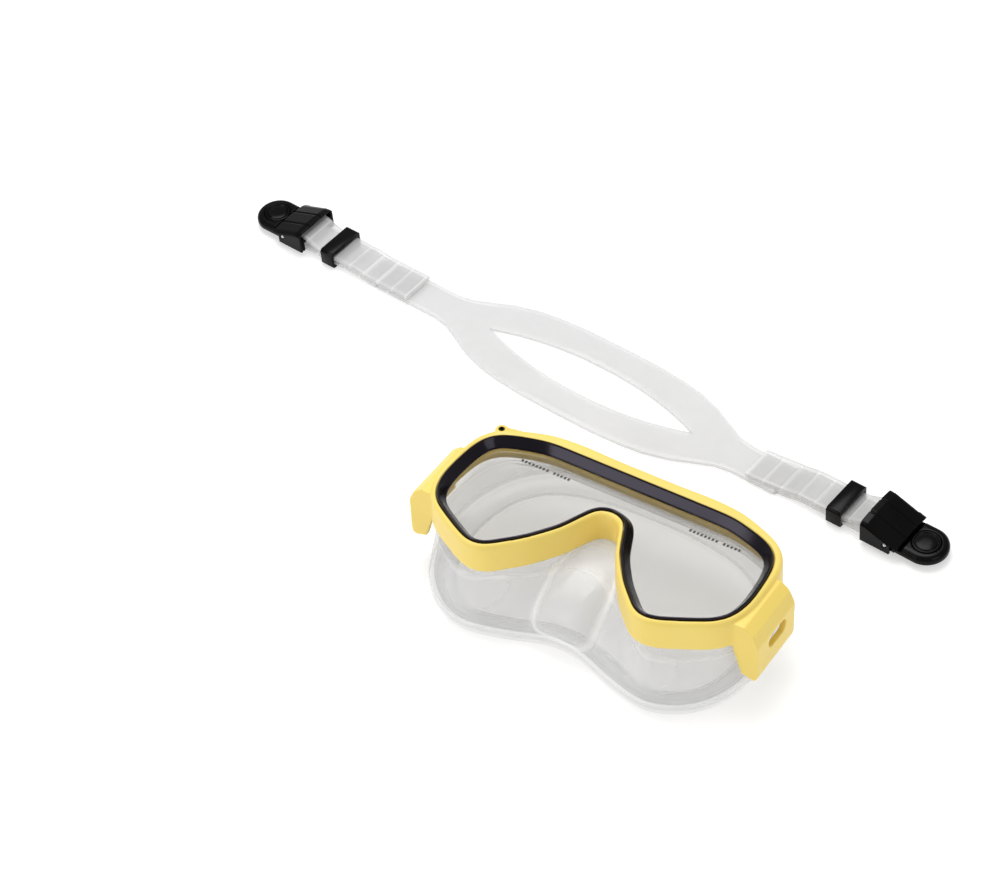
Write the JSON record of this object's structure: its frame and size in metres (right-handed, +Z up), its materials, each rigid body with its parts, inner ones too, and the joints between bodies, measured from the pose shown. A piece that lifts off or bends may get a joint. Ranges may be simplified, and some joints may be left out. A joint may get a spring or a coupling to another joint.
{
  "type": "diving mask",
  "caption": "Single-lens diving mask with a yellow frame, a clear silicone skirt and an unclipped strap with swivel buckles.",
  "frame": {"origin": "centre of the whole object's footprint, on the surface it lies on", "axes": "+X across the mask from one lug to the other, +Y towards the brow side of the mask, where the strap lies, +Z up, out of the lens"},
  "size_m": [0.3788, 0.1782, 0.0469],
  "materials": {
    "frame_yellow": "satin moulded plastic",
    "gloss_black": "polished black plastic",
    "lens_glass": "clear polished",
    "clear_silicone": "translucent soft silicone",
    "pin_steel": "drawn wire"
  },
  "bodies": {
    "mask": {"frame": "frame_yellow", "camera_bush": "gloss_black", "lens_retainer": "gloss_black", "lens": "lens_glass", "skirt": "clear_silicone"},
    "strap": {"strap": "clear_silicone"},
    "left_keeper": {"left_keeper": "gloss_black"},
    "left_buckle": {"left_buckle_body": "gloss_black", "left_lever_pin": "pin_steel"},
    "left_roller": {"left_strap_roller": "gloss_black"},
    "left_lever": {"left_release_lever": "gloss_black"},
    "left_stud": {"left_swivel_stud": "gloss_black", "left_stud_cap": "gloss_black"},
    "right_keeper": {"right_keeper": "gloss_black"},
    "right_buckle": {"right_buckle_body": "gloss_black", "right_lever_pin": "pin_steel"},
    "right_roller": {"right_strap_roller": "gloss_black"},
    "right_lever": {"right_release_lever": "gloss_black"},
    "right_stud": {"right_swivel_stud": "gloss_black", "right_stud_cap": "gloss_black"}
  },
  "joints": [
    {"name": "strap_lift", "type": "slide", "parent": "mask", "child": "strap", "axis": [0, 0, 1], "range_m": [0, 0.12]},
    {"name": "left_keeper_slide", "type": "slide", "parent": "strap", "child": "left_keeper", "axis": [-0.9936, 0.1127, 0], "range_m": [-0.012, 0.001]},
    {"name": "left_buckle_tilt", "type": "hinge", "parent": "strap", "child": "left_buckle", "pos_m": [-0.15761, 0.07587, 0.0063], "axis": [0.1127, 0.9936, 0], "range_deg": [0, 25]},
    {"name": "left_roller_spin", "type": "hinge", "parent": "left_buckle", "child": "left_roller", "pos_m": [-0.15761, 0.07587, 0.0063], "axis": [-0.1127, -0.9936, 0], "continuous": true},
    {"name": "left_lever_press", "type": "hinge", "parent": "left_buckle", "child": "left_lever", "pos_m": [-0.16656, 0.07688, 0.006], "axis": [-0.1127, -0.9936, 0], "range_deg": [0, 8], "stiffness_Nm_per_rad": 0.02},
    {"name": "left_stud_swivel", "type": "hinge", "parent": "left_buckle", "child": "left_stud", "pos_m": [-0.17977, 0.07838, 0.003], "axis": [0, 0, 1], "continuous": true},
    {"name": "right_keeper_slide", "type": "slide", "parent": "strap", "child": "right_keeper", "axis": [0.9936, -0.1127, 0], "range_m": [-0.012, 0.001]},
    {"name": "right_buckle_tilt", "type": "hinge", "parent": "strap", "child": "right_buckle", "pos_m": [0.15761, 0.04233, 0.0063], "axis": [-0.1127, -0.9936, 0], "range_deg": [0, 25]},
    {"name": "right_roller_spin", "type": "hinge", "parent": "right_buckle", "child": "right_roller", "pos_m": [0.15761, 0.04233, 0.0063], "axis": [0.1127, 0.9936, 0], "continuous": true},
    {"name": "right_lever_press", "type": "hinge", "parent": "right_buckle", "child": "right_lever", "pos_m": [0.16656, 0.04132, 0.006], "axis": [0.1127, 0.9936, 0], "range_deg": [0, 8], "stiffness_Nm_per_rad": 0.02},
    {"name": "right_stud_swivel", "type": "hinge", "parent": "right_buckle", "child": "right_stud", "pos_m": [0.17977, 0.03982, 0.003], "axis": [0, 0, 1], "continuous": true}
  ]
}
